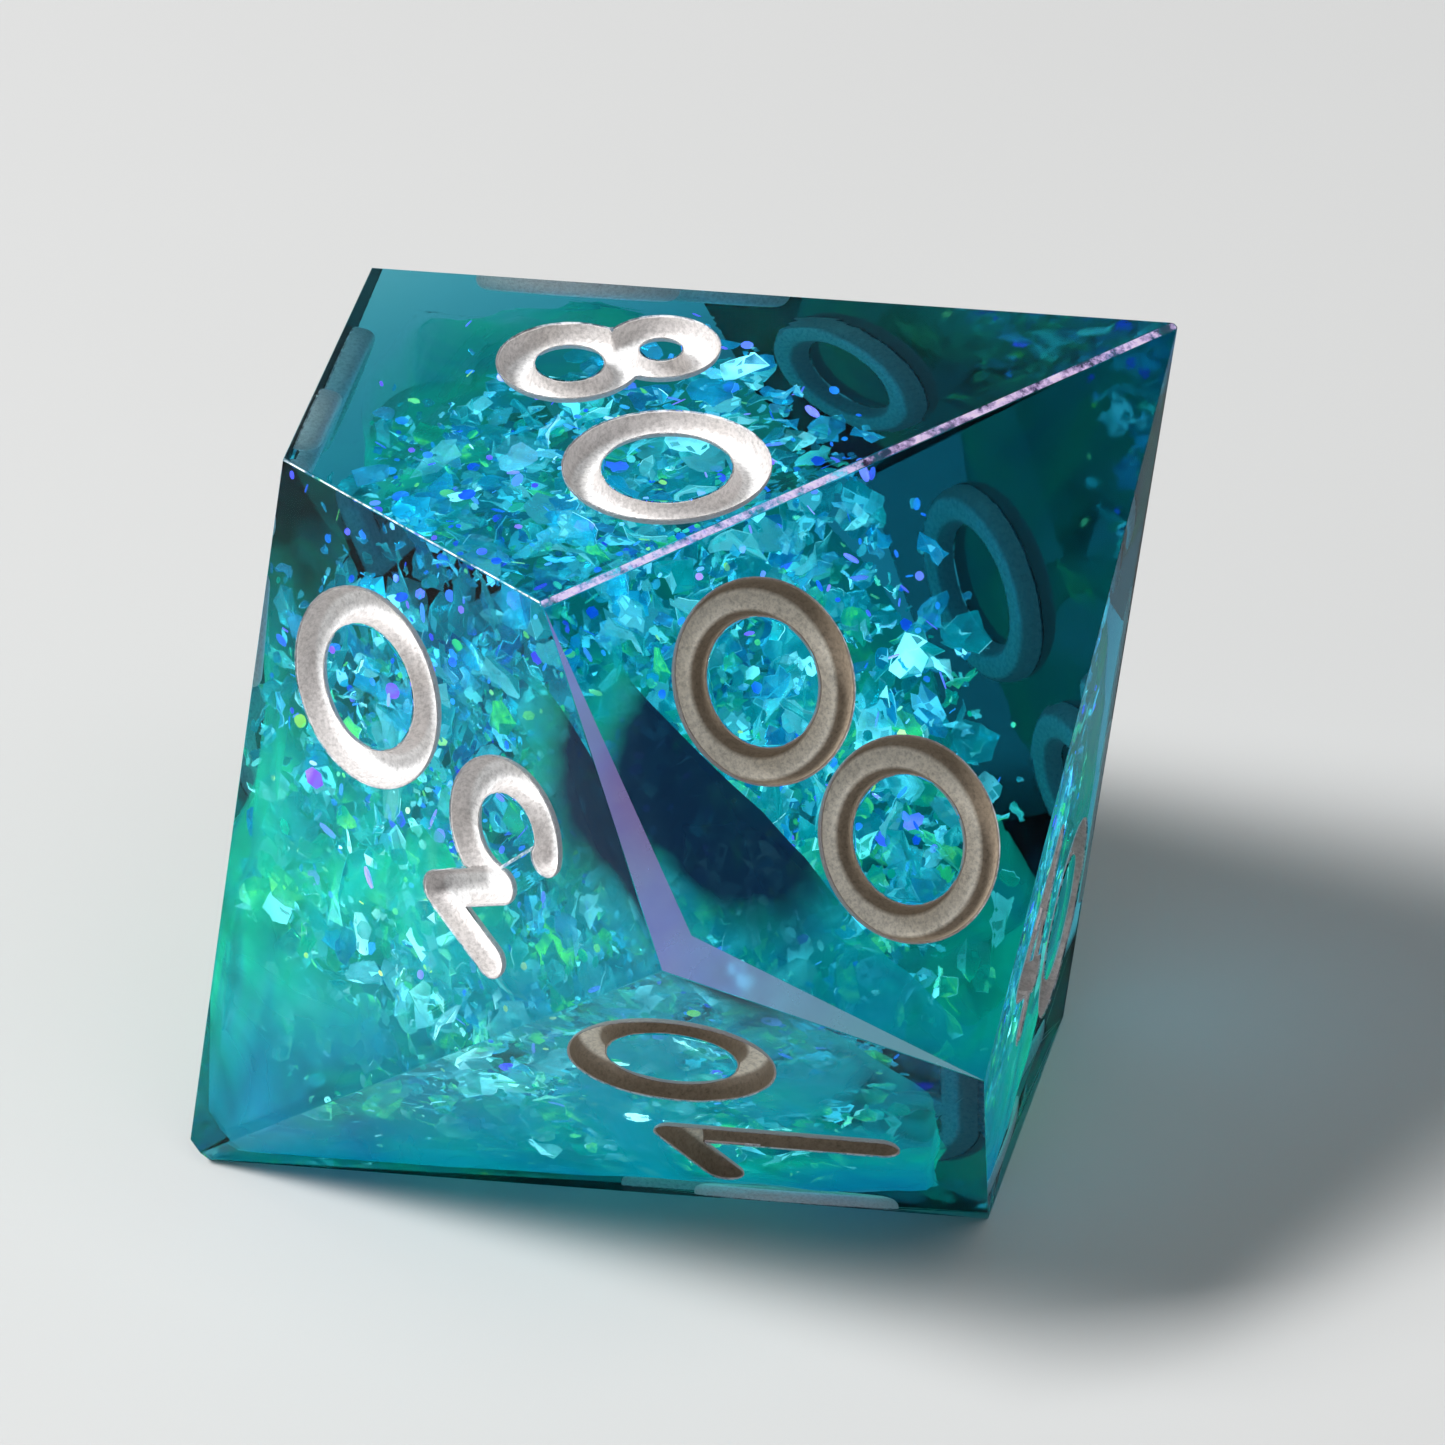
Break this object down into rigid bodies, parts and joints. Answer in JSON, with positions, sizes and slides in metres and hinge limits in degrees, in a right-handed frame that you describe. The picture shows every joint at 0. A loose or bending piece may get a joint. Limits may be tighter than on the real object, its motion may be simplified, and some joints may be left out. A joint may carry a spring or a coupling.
{
  "type": "polyhedral die",
  "caption": "Percentile die with kite-shaped faces: clear blue-green resin holding iridescent film and glitter, with silver paint in its engraved numerals.",
  "frame": {"origin": "on the plane of the 10 face, which the die rests on, straight below the die's centre", "axes": "+Z is the outward normal of the 80 face, which lies on top; +X is the level direction in which the 80 face's pole points; +Y completes the right-handed set"},
  "size_m": [0.0206, 0.0212, 0.016],
  "materials": {
    "clear_resin": "clear blue-green cast resin, polished by hand to a high gloss, with fine surface scratches",
    "silver_paint": "grainy metallic silver paint, brushed into the engraved strokes",
    "film_cyan": "crumpled iridescent film that flashes cyan and white",
    "film_blue": "crumpled iridescent film that flashes blue",
    "film_green": "crumpled iridescent film that flashes green and yellow-green",
    "glitter_violet": "violet mirror glitter dots",
    "glitter_blue": "blue mirror glitter dots",
    "glitter_green": "green mirror glitter dots",
    "glitter_gold": "yellow-gold mirror glitter dots"
  },
  "bodies": {
    "root": {"resin_body": "clear_resin", "paint_00_tens": "silver_paint", "paint_00_zero": "silver_paint", "paint_10_tens": "silver_paint", "paint_10_zero": "silver_paint", "paint_20_tens": "silver_paint", "paint_20_zero": "silver_paint", "paint_30_tens": "silver_paint", "paint_30_zero": "silver_paint", "paint_40_tens": "silver_paint", "paint_40_zero": "silver_paint", "paint_50_tens": "silver_paint", "paint_50_zero": "silver_paint", "paint_60_tens": "silver_paint", "paint_60_zero": "silver_paint", "paint_70_tens": "silver_paint", "paint_70_zero": "silver_paint", "paint_80_tens": "silver_paint", "paint_80_zero": "silver_paint", "paint_90_tens": "silver_paint", "paint_90_zero": "silver_paint", "film_cyan": "film_cyan", "film_blue": "film_blue", "film_green": "film_green", "glitter_violet": "glitter_violet", "glitter_blue": "glitter_blue", "glitter_green": "glitter_green", "glitter_gold": "glitter_gold"}
  },
  "joints": []
}
